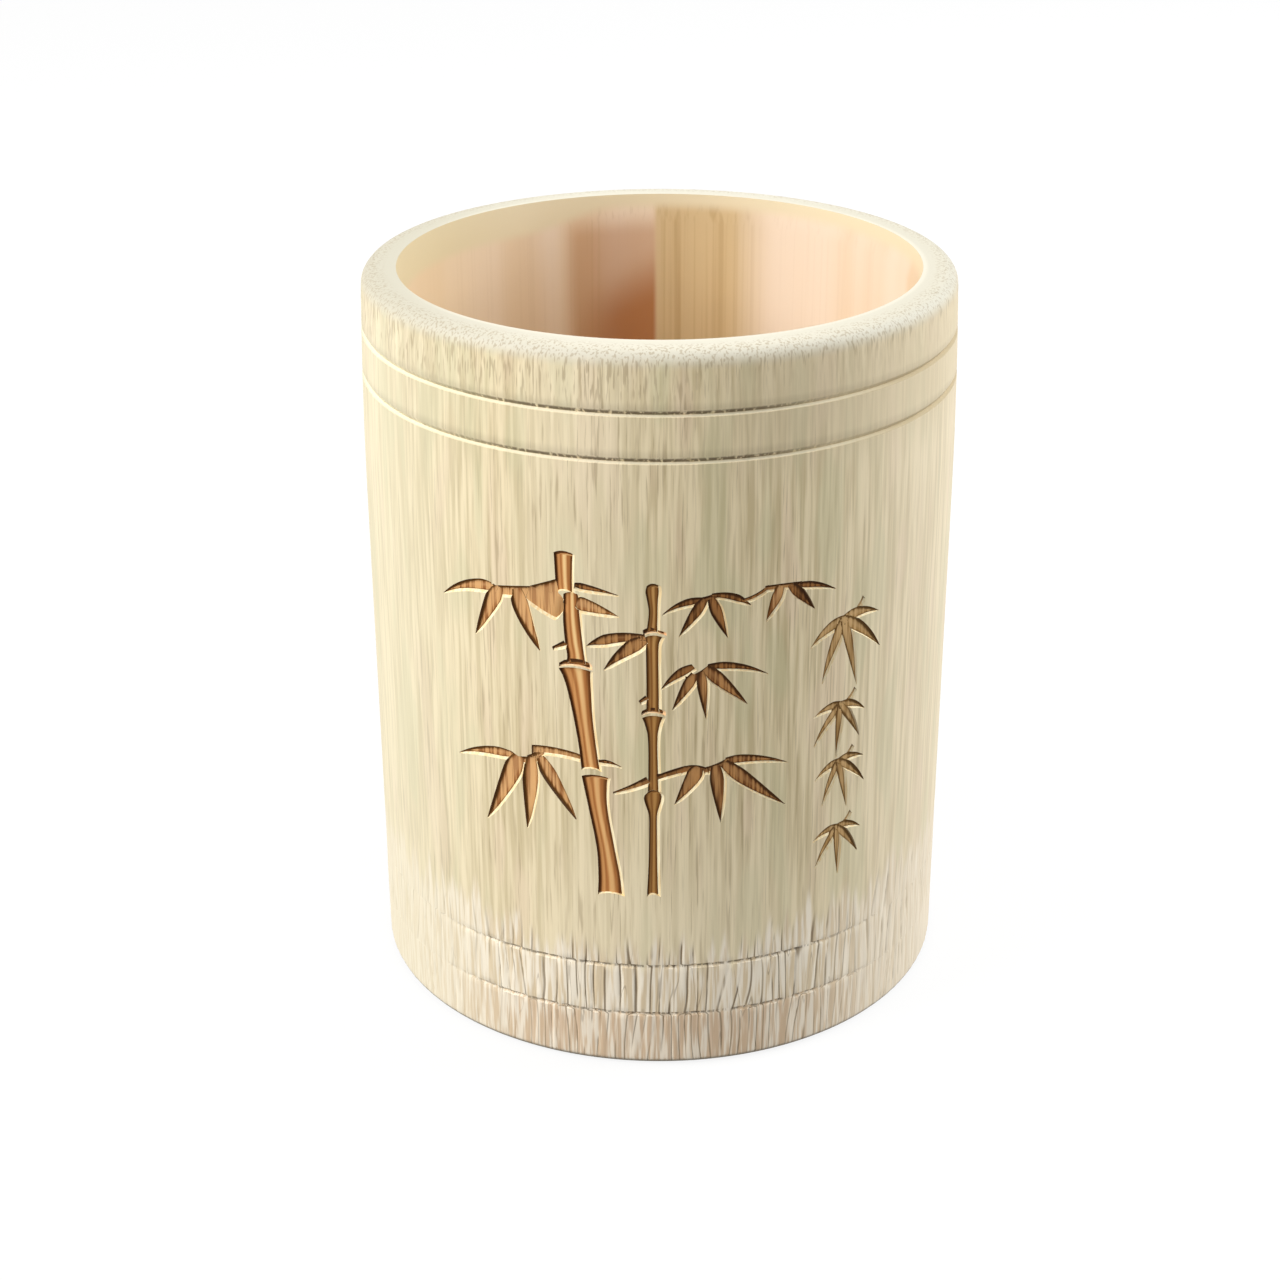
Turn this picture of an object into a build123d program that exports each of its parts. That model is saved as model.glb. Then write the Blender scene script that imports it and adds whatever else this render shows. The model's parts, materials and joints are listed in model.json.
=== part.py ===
# A turned bamboo cup: one tube of culm, closed at the foot by a disc of edge-glued bamboo strips.
# Millimetres. The origin is the centre of the foot, +Z points out of the mouth, and the front faces -Y.

import os
from math import sqrt

from build123d import *

# The culm tube, turned inside and out
outer_diameter = 80.0
cup_height = 100.0
wall_thickness = 6.2
lip_shoulder_radius = 1.9
mouth_bevel_width = 0.9
mouth_bevel_height = 4.0
foot_edge_radius = 1.2
rebate_edge_chamfer = 0.5

# The outer face is straight, then draws in to the lip on a long arc
draw_in = 0.75
draw_in_height = 30.0

# The two wide grooves under the lip, measured down from it
upper_groove_drops = (7.6, 13.5)
upper_groove_width = 1.0
upper_groove_depth = 0.45
upper_groove_point_drop = 0.25

# The two fine grooves over the foot, measured up from it
lower_groove_heights = (8.1, 15.5)
lower_groove_width = 0.7
lower_groove_depth = 0.35

# The base disc and the rebate that it is glued into
rebate_width = 2.2
base_thickness = 7.0
base_recess = 1.2
base_edge_chamfer = 0.5
strip_count = 11
glue_thickness = 0.2

# What the sizes above give
outer_radius = outer_diameter / 2
bore_radius = outer_radius - wall_thickness
mouth_radius = bore_radius + mouth_bevel_width
rebate_radius = bore_radius + rebate_width
disc_radius = rebate_radius - glue_thickness
disc_top = base_recess + base_thickness
shoulder_height = disc_top + glue_thickness
draw_in_start = cup_height - draw_in_height
draw_in_radius = (draw_in**2 + draw_in_height**2) / (2 * draw_in)


def rounded_corner(section, radius, corner):
    """The section with the corner that lies nearest to a point rounded off."""
    nearest = section.vertices().sort_by_distance(Plane.XZ.from_local_coords(corner))[0]
    return fillet(nearest, radius)


def wall_radius(height):
    """The outer radius at a height."""
    rise = max(height - draw_in_start, 0)
    return outer_radius - draw_in_radius + sqrt(draw_in_radius**2 - rise**2)


def groove_notch(height, width, depth, point_drop=0.0):
    """A V-shaped notch in the outer face, centred on a height; its point may lie under the centre."""
    radius = wall_radius(height)
    notch = Polyline(
        (radius - depth, height - point_drop),
        (radius + depth, height - width + point_drop),
        (radius + depth, height + width + point_drop),
        close=True,
    )
    return make_face(Plane.XZ * notch)


def culm_wall():
    """The tube: drawn-in, rounded lip, bevelled mouth, straight bore, and a rebate in the foot."""
    foot_outer = (outer_radius, 0)
    arc_start = (outer_radius, draw_in_start)
    lip_outer = (outer_radius - draw_in, cup_height)
    lip_inner = (mouth_radius, cup_height)
    bevel_end = (bore_radius, cup_height - mouth_bevel_height)
    shoulder_inner = (bore_radius, shoulder_height)
    shoulder_outer = (rebate_radius, shoulder_height)
    chamfer_top = (rebate_radius, rebate_edge_chamfer)
    foot_inner = (rebate_radius + rebate_edge_chamfer, 0)
    outline = Polyline(
        lip_outer,
        lip_inner,
        bevel_end,
        shoulder_inner,
        shoulder_outer,
        chamfer_top,
        foot_inner,
        foot_outer,
        arc_start,
    )
    outline += TangentArc(arc_start, lip_outer, tangent=(0, 1))
    section = make_face(Plane.XZ * outline)
    section = rounded_corner(section, lip_shoulder_radius, lip_outer)
    section = rounded_corner(section, foot_edge_radius, foot_outer)
    for drop in upper_groove_drops:
        height = cup_height - drop
        section -= groove_notch(height, upper_groove_width, upper_groove_depth, upper_groove_point_drop)
    for height in lower_groove_heights:
        section -= groove_notch(height, lower_groove_width, lower_groove_depth)
    return revolve(section, Axis.Z)


def base_disc():
    """The whole base before it is cut into strips, with its lower edge eased to slip into the rebate."""
    disc = Pos(0, 0, base_recess) * Cylinder(
        disc_radius, base_thickness, align=(Align.CENTER, Align.CENTER, Align.MIN)
    )
    lower_edge = disc.edges().group_by(Axis.Z)[0]
    return chamfer(lower_edge, base_edge_chamfer)


def base_strips():
    """The disc's strips side by side from -X to +X, each running front to back."""
    disc = base_disc()
    strip_width = 2 * disc_radius / strip_count
    strips = []
    for index in range(strip_count):
        left = -disc_radius + index * strip_width
        slab = Pos(left, 0, base_recess) * Box(
            strip_width,
            outer_diameter,
            base_thickness,
            align=(Align.MIN, Align.CENTER, Align.MIN),
        )
        strips.append(disc & slab)
    return strips


def glue_seam():
    """The cured glue: a film round the disc's edge that turns in between disc and shoulder."""
    section = Polyline(
        (bore_radius, shoulder_height),
        (bore_radius, disc_top),
        (disc_radius, disc_top),
        (disc_radius, base_recess + base_edge_chamfer),
        (rebate_radius, base_recess + base_edge_chamfer),
        (rebate_radius, shoulder_height),
        close=True,
    )
    return revolve(make_face(Plane.XZ * section), Axis.Z)


os.makedirs("parts", exist_ok=True)
export_step(culm_wall(), "parts/culm_wall.step")
export_step(glue_seam(), "parts/glue_seam.step")
for number, strip in enumerate(base_strips(), start=1):
    export_step(strip, f"parts/base_strip_{number:02d}.step")
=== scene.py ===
import json
import math
import bmesh
import bpy
from mathutils import Matrix, Vector, noise

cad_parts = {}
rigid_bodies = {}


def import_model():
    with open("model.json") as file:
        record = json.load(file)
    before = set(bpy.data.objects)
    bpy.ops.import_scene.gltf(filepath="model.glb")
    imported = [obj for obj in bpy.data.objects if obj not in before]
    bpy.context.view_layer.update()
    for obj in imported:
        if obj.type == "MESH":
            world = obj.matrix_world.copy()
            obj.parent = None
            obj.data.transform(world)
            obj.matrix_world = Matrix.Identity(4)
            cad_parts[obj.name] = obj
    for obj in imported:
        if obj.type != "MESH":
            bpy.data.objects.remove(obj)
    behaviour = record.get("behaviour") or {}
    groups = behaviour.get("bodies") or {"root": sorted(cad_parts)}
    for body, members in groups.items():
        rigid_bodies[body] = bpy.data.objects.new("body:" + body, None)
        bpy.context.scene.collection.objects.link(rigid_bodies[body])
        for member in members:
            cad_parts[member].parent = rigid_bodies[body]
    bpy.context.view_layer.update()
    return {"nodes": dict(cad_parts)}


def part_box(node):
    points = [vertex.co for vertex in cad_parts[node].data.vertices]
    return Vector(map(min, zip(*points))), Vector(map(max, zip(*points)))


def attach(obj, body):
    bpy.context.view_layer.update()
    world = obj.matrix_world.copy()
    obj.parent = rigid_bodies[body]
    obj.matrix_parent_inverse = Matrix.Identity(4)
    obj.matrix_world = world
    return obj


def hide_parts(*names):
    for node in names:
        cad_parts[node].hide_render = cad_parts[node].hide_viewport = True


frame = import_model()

mm = 0.001
near = 0.01  # millimetres: what lies closer counts as one place
smoothAngle = math.radians(38)
sceneHome = bpy.context.scene.collection
cupLow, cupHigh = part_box("culm_wall")
cupRadius = round((cupHigh[0] - cupLow[0]) / 2 / mm, 1)
cupHeight = round(cupHigh[2] / mm, 1)
print("frame:", len(frame["nodes"]), "nodes, radius", cupRadius, "height", cupHeight)


# Shader sums: each operator on a wire adds a Math node
class Wire:
    def __init__(self, finish, socket):
        self.finish = finish
        self.socket = socket

    def sum(self, operation, first, second=0.0):
        return self.finish.node("Math", {"operation": operation}, {0: first, 1: second})

    def __add__(self, other):
        return self.sum("ADD", self, other)

    def __radd__(self, other):
        return self.sum("ADD", other, self)

    def __sub__(self, other):
        return self.sum("SUBTRACT", self, other)

    def __rsub__(self, other):
        return self.sum("SUBTRACT", other, self)

    def __mul__(self, other):
        return self.sum("MULTIPLY", self, other)

    def size(self):
        return self.sum("ABSOLUTE", self)


class Finish:
    def __init__(self, name, **fixed):
        self.material = bpy.data.materials.new(name)
        self.material.use_nodes = True
        self.tree = self.material.node_tree
        self.shader = self.tree.nodes["Principled BSDF"]
        for socketName, value in fixed.items():
            self.shader.inputs[socketName.replace("_", " ")].default_value = value
        place = self.node("TexCoord", result="Object")
        self.place = self.node("VectorMath", {"operation": "SCALE"}, {0: place, "Scale": 1 / mm})

    # any node: its type, its settings, then the values or wires of its sockets
    def node(self, kind, settings=None, sockets=None, result=0):
        made = self.tree.nodes.new("ShaderNode" + kind)
        for key, value in (settings or {}).items():
            setattr(made, key, value)
        for key, value in (sockets or {}).items():
            if isinstance(value, Wire):
                self.tree.links.new(value.socket, made.inputs[key])
            else:
                made.inputs[key].default_value = value
        return Wire(self, made.outputs[result])

    # one coordinate, in millimetres
    def axis(self, letter):
        return self.node("SeparateXYZ", None, {0: self.place}, letter)

    # a value that the mesh carries
    def carried(self, name):
        return self.node("Attribute", {"attribute_name": name}, None, "Fac")

    # what a cut carries: X tells the burn and painted shade across it, Y goes from its start to its tip
    def inCut(self, letter):
        spot = self.node("UVMap", {"uv_map": "cut"})
        return self.node("SeparateXYZ", None, {0: spot}, letter)

    # a soft step from 0 to 1 as a value goes from one bound to the other
    def step(self, value, start, end):
        settings = {"interpolation_type": "SMOOTHSTEP"}
        return self.node("MapRange", settings, {"Value": value, "From Min": start, "From Max": end})

    # noise drawn out along the fibres: its size across them and along them, in millimetres
    def streaks(self, across, along, detail, shift):
        stretch = (1 / across, 1 / across, 1 / along)
        settings = {"operation": "MULTIPLY_ADD"}
        spot = self.node("VectorMath", settings, {0: self.place, 1: stretch, 2: (shift, shift, shift)})
        return self.node("TexNoise", None, {"Vector": spot, "Scale": 1.0, "Detail": detail})

    def mix(self, factor, first, second):
        settings = {"data_type": "RGBA", "clamp_factor": True}
        return self.node("Mix", settings, {0: factor, 6: first, 7: second}, 2)

    def bump(self, height, distance, strength):
        sockets = {"Height": height, "Distance": distance * mm, "Strength": strength}
        return self.node("Bump", None, sockets)

    def join(self, socketName, wire):
        self.tree.links.new(wire.socket, self.shader.inputs[socketName])


def shade(red, green, blue):
    # a colour as an eye reads it, 0 to 255, made linear
    return tuple(((part / 255 + 0.055) / 1.055) ** 2.4 for part in (red, green, blue)) + (1,)


def softStep(value, start, end):
    share = min(max((value - start) / (end - start), 0), 1)
    return share * share * (3 - 2 * share)


def roughness(x, y, z, across, along, shift=0.0):
    # one value of solid noise, finer across the fibres than along them
    return noise.noise(Vector((x * across, y * across, z * along + shift)))


def makeObject(name, bm, finishes, home=sceneHome):
    mesh = bpy.data.meshes.new(name)
    bm.to_mesh(mesh)
    bm.free()
    for finish in finishes:
        mesh.materials.append(finish)
    made = bpy.data.objects.new(name, mesh)
    home.objects.link(made)
    return made


def makePiece(name, bm, finishes, node):
    bmesh.ops.scale(bm, vec=(mm, mm, mm), verts=bm.verts[:])
    piece = makeObject(name, bm, finishes)
    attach(piece, "root")
    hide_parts(node)
    piece.data.shade_smooth()
    piece.data.set_sharp_from_angle(angle=smoothAngle)


def bevel(bm, parts, offset, segments, affect):
    settings = {"offset_type": "OFFSET", "profile": 0.5, "material": -1}
    bmesh.ops.bevel(bm, geom=parts, offset=offset, segments=segments, affect=affect, **settings)


# The turned wall, in millimetres; a groove has a height, a width, a depth and a drop of its point
turning = {
    "boreRadius": 33.8,
    "mouthRadius": 34.7,
    "mouthBevel": 4.0,
    "lipRound": 1.9,
    "drawIn": 0.75,
    "drawInHeight": 30.0,
    "arcStation": 78.0,
    "footRound": 1.2,
    "roundSegments": 8,
    "rebateRadius": 36.0,
    "rebateChamfer": 0.5,
    "rebateHeight": 8.4,
    "footGrooves": ((8.1, 0.7, 0.35, 0.0), (15.5, 0.7, 0.35, 0.0)),
    "lipGrooves": ((86.5, 1.0, 0.45, 0.25), (92.4, 1.0, 0.45, 0.25)),
    "wedgeSteps": 30,
    "wedgeDoublings": 5,
    "footZone": 29.0,
    "footRow": 0.75,
    "lipZone": 84.0,
    "lipRow": 1.0,
    "middleRow": 8.0,
}


def wallRadius(z):
    # straight, then drawn in to the lip on a long arc
    drawIn, height = turning["drawIn"], turning["drawInHeight"]
    arc = (drawIn**2 + height**2) / (2 * drawIn)
    rise = max(z - cupHeight + height, 0)
    return cupRadius - arc + math.sqrt(arc**2 - rise**2)


def grooveCorners(groove):
    height, width, depth, drop = groove
    corners = [(wallRadius(z), z) for z in (height - width / 2, height + width / 2)]
    corners.insert(1, (wallRadius(height) - depth, height - drop))
    return corners


def sectionCorners():
    t = turning
    corners = [(t["rebateRadius"] + t["rebateChamfer"], 0.0), (cupRadius, 0.0)]
    for groove in t["footGrooves"]:
        corners += grooveCorners(groove)
    for z in (t["footZone"], cupHeight - t["drawInHeight"], t["arcStation"]):
        corners.append((wallRadius(z), z))
    for groove in t["lipGrooves"]:
        corners += grooveCorners(groove)
    corners.append((wallRadius(cupHeight), cupHeight))
    corners.append((t["mouthRadius"], cupHeight))
    corners.append((t["boreRadius"], cupHeight - t["mouthBevel"]))
    corners.append((t["boreRadius"], t["rebateHeight"]))
    corners.append((t["rebateRadius"], t["rebateHeight"]))
    corners.append((t["rebateRadius"], t["rebateChamfer"]))
    return corners


def roundCorner(bm, place, radius):
    corner = min(bm.verts, key=lambda v: (v.co - Vector((place[0], 0, place[1]))).length)
    bevel(bm, [corner], radius, turning["roundSegments"], "VERTICES")


def splitRows(bm):
    # the straight edges of the outer face get rows that carry the fibres' relief
    t = turning
    for edge in bm.edges[:]:
        low, high = sorted(v.co.z for v in edge.verts)
        if any(abs(v.co.x - wallRadius(v.co.z)) > near for v in edge.verts):
            continue
        row = t["middleRow"]
        if high < t["footZone"] + near:
            row = t["footRow"]
        if low > t["lipZone"]:
            row = t["lipRow"]
        cuts = int((high - low) / row)
        if cuts:
            bmesh.ops.subdivide_edges(bm, edges=[edge], cuts=cuts)


def turnedWall():
    t = turning
    bm = bmesh.new()
    points = [bm.verts.new((radius, 0, height)) for radius, height in sectionCorners()]
    for first, second in zip(points, points[1:] + points[:1]):
        bm.edges.new((first, second))
    roundCorner(bm, (cupRadius, 0), t["footRound"])
    roundCorner(bm, (wallRadius(cupHeight), cupHeight), t["lipRound"])
    splitRows(bm)
    # one wedge is spun, then doubled until it closes the ring
    wedge = 2 * math.pi / 2 ** t["wedgeDoublings"]
    section = bm.verts[:] + bm.edges[:]
    bmesh.ops.spin(bm, geom=section, axis=(0, 0, 1), angle=wedge, steps=t["wedgeSteps"])
    for doubling in range(t["wedgeDoublings"]):
        copied = bmesh.ops.duplicate(bm, geom=bm.verts[:] + bm.edges[:] + bm.faces[:])["geom"]
        turned = [v for v in copied if isinstance(v, bmesh.types.BMVert)]
        turn = Matrix.Rotation(wedge * 2**doubling, 3, "Z")
        bmesh.ops.rotate(bm, verts=turned, matrix=turn)
    bmesh.ops.remove_doubles(bm, verts=bm.verts[:], dist=1e-4)
    bmesh.ops.recalc_face_normals(bm, faces=bm.faces[:])
    return bm


# Torn fibres over the foot: under the lower groove, between the grooves, and over them
torn = {
    "reach": 18.5,
    "fade": (2.5, 1.2),
    "flames": 4.5,
    "broadFlames": 0.6,
    "rightRise": 4.0,
    "rightSpan": (8, 30),
    "leftRise": 3.0,
    "leftSpan": (14, 32),
    "splits": (220, 150, 150),
    "splitWarp": 1.3,
    "splitSpread": 0.2,
    "splitBend": (0.07, 0.06, 0.05),
    "splitShift": 13.3,
    "splitWidth": 0.35,
    "splitDepth": 0.15,
    "splitGaps": (-0.1, 0.2),
    "ripple": 0.1,
    "wallStreak": 0.01,
    "lipFray": 0.06,
    "frayStart": (93, 96.5),
    "frayEnd": (98, 99.6),
    "footFade": 1.5,
    "filling": 0.8,
    "fillingGaps": (-0.1, 0.25),
    "sideFilling": 0.95,
    "sideSpan": (18, 31),
    "overhang": 0.06,
    "markedAbove": 10,
}

# the noise behind them: how fine it is across the fibres and along them, and its shift
tornNoise = {
    "broadFlames": (0.45, 0.02),
    "flames": (1.1, 0.03, 7),
    "splitGaps": (0.6, 0.1, 31),
    "ripple": (1.2, 0.15, 9),
    "wallStreak": (1.6, 0.03),
    "lipFray": (1.7, 0.4, 57),
    "filling": (0.5, 1.0),
}


def tornFoot(x, y, z):
    # how far a spot lies in the torn fibres, and on which side of a split, which runs where this is 0
    t = torn
    flames = t["broadFlames"] * roughness(x, y, z, *tornNoise["broadFlames"])
    flames += roughness(x, y, z, *tornNoise["flames"])
    sides = t["rightRise"] * softStep(x, *t["rightSpan"]) + t["leftRise"] * softStep(-x, *t["leftSpan"])
    reach = t["reach"] + t["flames"] * flames + sides
    below, above = t["fade"]
    share = 1 - softStep(z, reach - below, reach + above)
    band = sum(z > groove[0] for groove in turning["footGrooves"])
    turn = math.atan2(x, -y) / (2 * math.pi)
    bend = roughness(x, y, z, t["splitSpread"], t["splitBend"][band], t["splitShift"] * band)
    return share, math.sin(math.pi * (t["splits"][band] * turn + t["splitWarp"] * bend))


def fibreRelief(x, y, z):
    # how far the fibres lie over the turned face, or under it, in millimetres
    t = torn
    share, line = tornFoot(x, y, z)
    split = max(1 - abs(line) / t["splitWidth"], 0)
    split *= softStep(roughness(x, y, z, *tornNoise["splitGaps"]), *t["splitGaps"])
    lip = softStep(z, *t["frayStart"]) * (1 - softStep(z, *t["frayEnd"]))
    lift = t["wallStreak"] * roughness(x, y, z, *tornNoise["wallStreak"])
    lift += t["lipFray"] * lip * roughness(x, y, z, *tornNoise["lipFray"])
    lift += t["ripple"] * share * roughness(x, y, z, *tornNoise["ripple"])
    return lift - t["splitDepth"] * split * share


def grooveFilling(x, y, height):
    # the fine grooves over the foot fill up here and there, and to the sides
    t = torn
    patches = softStep(roughness(x, y, height, *tornNoise["filling"]), *t["fillingGaps"])
    sides = softStep(abs(x), *t["sideSpan"])
    return max(t["filling"] * patches, t["sideFilling"] * sides)


def roughenWall(bm):
    t = turning
    skinFrom = t["rebateRadius"] + 1
    for vert in bm.verts:
        radius = math.hypot(vert.co.x, vert.co.y)
        z = vert.co.z
        if radius < skinFrom or z < 2 * near or z > cupHeight - 2 * near:
            continue
        x = vert.co.x * cupRadius / radius
        y = vert.co.y * cupRadius / radius
        offset = softStep(z, 0, torn["footFade"]) * fibreRelief(x, y, z)
        for height, width, depth, drop in t["footGrooves"]:
            if abs(z - height) < near:
                offset += depth * grooveFilling(x, y, height)
        offset = min(offset, cupRadius - radius + torn["overhang"])
        vert.co.x *= (radius + offset) / radius
        vert.co.y *= (radius + offset) / radius


def markTornFoot(bm):
    # the same pattern, for the finish to read
    shareLayer = bm.verts.layers.float.new("tornShare")
    splitLayer = bm.verts.layers.float.new("splitLine")
    top = turning["footZone"] + torn["markedAbove"]
    for vert in bm.verts:
        if vert.co.z < top:
            turn = cupRadius / max(math.hypot(vert.co.x, vert.co.y), 1)
            spot = (vert.co.x * turn, vert.co.y * turn, vert.co.z)
            vert[shareLayer], vert[splitLayer] = tornFoot(*spot)


def markBore(bm):
    t = turning
    for face in bm.faces:
        middle = face.calc_center_median()
        radius = math.hypot(middle.x, middle.y)
        bore = radius < t["mouthRadius"] + 2 * near and middle.z < cupHeight - near
        rebate = radius < t["rebateRadius"] + 2 * near and middle.z < t["rebateHeight"] + near
        face.material_index = 1 if bore or rebate else 0


# The carving: cuts drawn on the unrolled front, u to the right and z up, in millimetres
carving = {
    "depth": 0.32,
    "clear": 0.6,
    "steepSide": 0.04,
    "steepSpan": (-0.5, 0.3),
    "slopedSide": 0.26,
    "rightSpread": 0.5,
    "farNarrowing": 0.35,
    "farSpan": (-4, 3),
    "endSlope": 0.16,
    "endSpread": 0.1,
    # the side where the cuts' edges take burn and painted shade
    "burntShadedSide": Vector((-0.6, 0.8)),
    "unburntUnshaded": 9,
    "leastEdge": 0.002,
    "capBurnShade": 2.2,
    "crown": 0.15,
    "arch": 0.35,
    "archPower": 6,
    "ringHeight": 1,
    "ringSlope": 0.13,
    "ringDepth": 0.36,
    "forkDepth": 0.345,
    "leafBase": 0.65,
    "leafTaper": 1.35,
    "leafTip": 0.12,
    "thinDepth": (0.4, 0.5),
    "thinSpread": (0.3, 0.4),
    "leafSteps": 18,
    "culmRow": 0.4,
    "culmAcross": 6,
}

# a culm's joints and rings from the top down, each by its sides at a few heights: z, left and right
thickCulm = (
    ((73.9, -13.2, -10.85), (73.2, -13.15, -10.9), (70.8, -13.05, -11.0), (68.75, -12.95, -11.0)),
    (
        (68.5, -12.0, -10.25),
        (65.2, -12.1, -10.05),
        (62.0, -11.9, -9.75),
        (60.2, -11.65, -9.55),
        (59.1, -11.75, -9.4),
    ),
    ((59.45, -12.1, -9.1), (59.1, -12.7, -8.85), (58.65, -12.75, -8.85)),
    (
        (58.25, -12.8, -8.75),
        (57.5, -12.35, -8.8),
        (55.6, -11.75, -8.75),
        (51.4, -10.9, -8.55),
        (47.5, -10.3, -8.15),
        (44.4, -10.0, -7.75),
    ),
    (
        (43.4, -10.0, -6.65),
        (42.6, -9.85, -6.8),
        (39.2, -9.2, -6.8),
        (33.2, -8.15, -5.9),
        (29.0, -7.95, -5.2),
        (26.3, -8.05, -4.95),
    ),
)
thinCulm = (
    (
        (70.3, -1.55, -0.2),
        (69.6, -1.7, -0.1),
        (68.4, -1.5, -0.2),
        (66.8, -1.3, -0.25),
        (64.0, -1.6, -0.3),
    ),
    ((64.35, -2.05, -0.45), (64.05, -2.0, 0.55), (63.8, -1.95, 0.5)),
    (
        (63.35, -1.85, 0.3),
        (62.6, -1.7, -0.05),
        (61.5, -1.65, -0.15),
        (54.4, -1.6, -0.1),
        (52.95, -1.65, -0.1),
    ),
    ((53.3, -2.1, 0.3), (53.05, -2.25, 0.45), (52.75, -2.2, 0.4)),
    (
        (52.25, -2.15, 0.4),
        (51.5, -1.85, 0.1),
        (49.6, -1.45, -0.25),
        (44.0, -1.4, -0.2),
        (41.6, -1.45, -0.15),
    ),
    (
        (41.65, -1.5, -0.1),
        (41.1, -1.95, 0.25),
        (40.2, -1.85, 0.15),
        (38.4, -1.35, -0.3),
        (36.0, -1.3, -0.35),
        (31.0, -1.4, -0.3),
        (26.4, -1.6, -0.2),
    ),
)

# leaves by their floors: start, tip, width, bow to the left of the run,
# and where along it the leaf is widest
leaves = {
    "leftLeaf": (
        ((-22.0, 67.75), (-30.3, 64.7), 1.6, -0.7, 0.15),
        ((-21.2, 67.8), (-24.9, 60.6), 2.1, 0.0, 0.2),
        ((-18.6, 68.1), (-15.4, 60.3), 2.2, -0.3, 0.25),
        ((-10.4, 67.5), (-5.0, 66.05), 2.0, 0.1, 0.1),
        ((-19.6, 44.6), (-28.5, 42.4), 1.4, -0.6, 0.25),
        ((-18.9, 44.6), (-24.0, 34.2), 2.5, 0.15, 0.2),
        ((-17.1, 44.7), (-17.8, 34.4), 2.1, 0.1, 0.3),
        ((-15.8, 45.0), (-10.85, 36.9), 1.9, 0.05, 0.25),
        ((15.5, 69.0), (13.5, 64.6), 1.6, 0.05, 0.3),
    ),
    "rightLeaf": (
        ((-1.8, 63.3), (-9.2, 61.8), 1.5, -0.55, 0.65),
        ((-1.9, 63.0), (-7.0, 58.7), 1.9, -0.3, 0.25),
        ((4.4, 58.2), (1.6, 53.4), 1.5, 0.0, 0.25),
        ((5.2, 58.4), (5.85, 52.0), 1.35, 0.0, 0.25),
        ((5.8, 58.9), (11.2, 53.5), 1.75, 0.05, 0.25),
        ((5.0, 45.0), (1.9, 39.9), 2.1, 0.1, 0.2),
        ((7.2, 45.0), (7.9, 36.9), 1.85, 0.05, 0.25),
        ((8.3, 45.3), (16.7, 38.1), 1.9, -0.1, 0.25),
        ((8.4, 45.8), (16.9, 44.2), 1.3, 0.5, 0.2),
    ),
    "darkLeaf": (
        ((-10.6, 69.85), (-5.0, 68.9), 0.95, 0.1, 0.15),
        ((-7.9, 45.7), (-4.8, 45.1), 0.65, 0.25, 0.3),
        ((5.7, 68.3), (0.3, 66.45), 1.05, -0.5, 0.35),
        ((5.6, 68.3), (2.4, 63.5), 1.45, 0.0, 0.3),
        ((6.4, 68.3), (8.5, 63.0), 1.45, 0.0, 0.3),
        ((6.4, 68.8), (11.5, 67.0), 1.0, 0.55, 0.6),
        ((16.8, 69.0), (20.25, 65.1), 1.4, 0.05, 0.3),
        ((17.0, 68.8), (23.4, 67.1), 0.95, 0.4, 0.35),
        ((4.2, 59.3), (0.2, 56.3), 1.3, -0.3, 0.3),
        ((6.0, 59.2), (13.9, 57.3), 1.1, 0.6, 0.25),
    ),
}

# twigs: start, end, width at the start and at the end, bow
twigs = {
    "leftLeaf": (
        ((-16.0, 68.2), (-22.0, 67.3), 1.5, 1.2, 0.0),
        ((-12.85, 69.05), (-16.3, 68.35), 2.6, 1.2, 0.0),
        ((-20.4, 44.2), (-15.6, 45.2), 0.9, 1.0, -0.45),
        ((-17.3, 44.7), (-15.4, 46.0), 0.8, 0.9, -0.1),
        ((-16.8, 46.1), (-10.25, 46.05), 1.2, 0.85, 0.35),
    ),
    "rightLeaf": (
        ((-1.5, 43.4), (-5.9, 41.4), 1.1, 0.25, 0.1),
        ((13.3, 69.05), (18.3, 68.85), 0.7, 0.7, 0.05),
        ((3.3, 57.5), (5.0, 57.7), 0.9, 0.9, 0.0),
        ((4.3, 57.8), (6.4, 59.2), 0.8, 0.7, -0.1),
        ((5.6, 44.6), (8.6, 45.6), 0.9, 0.9, -0.15),
    ),
    "darkLeaf": (
        ((-11.95, 61.8), (-13.6, 60.95), 0.75, 0.3, 0.0),
        ((10.6, 67.8), (13.8, 69.2), 0.55, 0.6, -0.2),
        ((4.6, 68.2), (7.2, 68.8), 0.8, 0.8, -0.1),
        ((-1.6, 55.1), (-2.5, 54.45), 0.7, 0.4, 0.0),
        ((3.4, 44.95), (-0.3, 43.75), 1.0, 0.75, -0.1),
        ((2.8, 44.75), (6.4, 44.4), 1.1, 0.6, 0.45),
    ),
}

# the fork beside the thick culm, drawn like leaves but without the burn and painted shade on its edges
forks = (
    ((-17.0, 67.9), (-12.1, 66.2), 2.9, 0.0, 0.88),
    ((-13.8, 68.0), (-12.05, 67.75), 1.3, 0.0, 0.6),
)


def onWall(u, z, depth):
    angle = u / cupRadius
    radius = cupRadius - depth
    return (radius * math.sin(angle), -radius * math.cos(angle), z)


def leftOf(along):
    return Vector((-along.y, along.x))


def besideRun(start, end, share, bow, aside):
    # a point beside a bowed run: its share of the way, and how far to the left of it
    along = end - start
    swing = bow * 4 * share * (1 - share) + aside
    return start + along * share + leftOf(along.normalized()) * swing


def sideSlope(outward, u):
    # how far a cut's side spreads: steep where the burn and painted shade darken it, sloped where it is
    # clean
    c = carving
    steep = softStep(outward.dot(c["burntShadedSide"]), *c["steepSpan"])
    sloped = c["slopedSide"] * (1 + c["rightSpread"] * max(outward.x, 0))
    sloped *= 1 - c["farNarrowing"] * softStep(u, *c["farSpan"])
    return sloped + (c["steepSide"] - sloped) * steep


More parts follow.
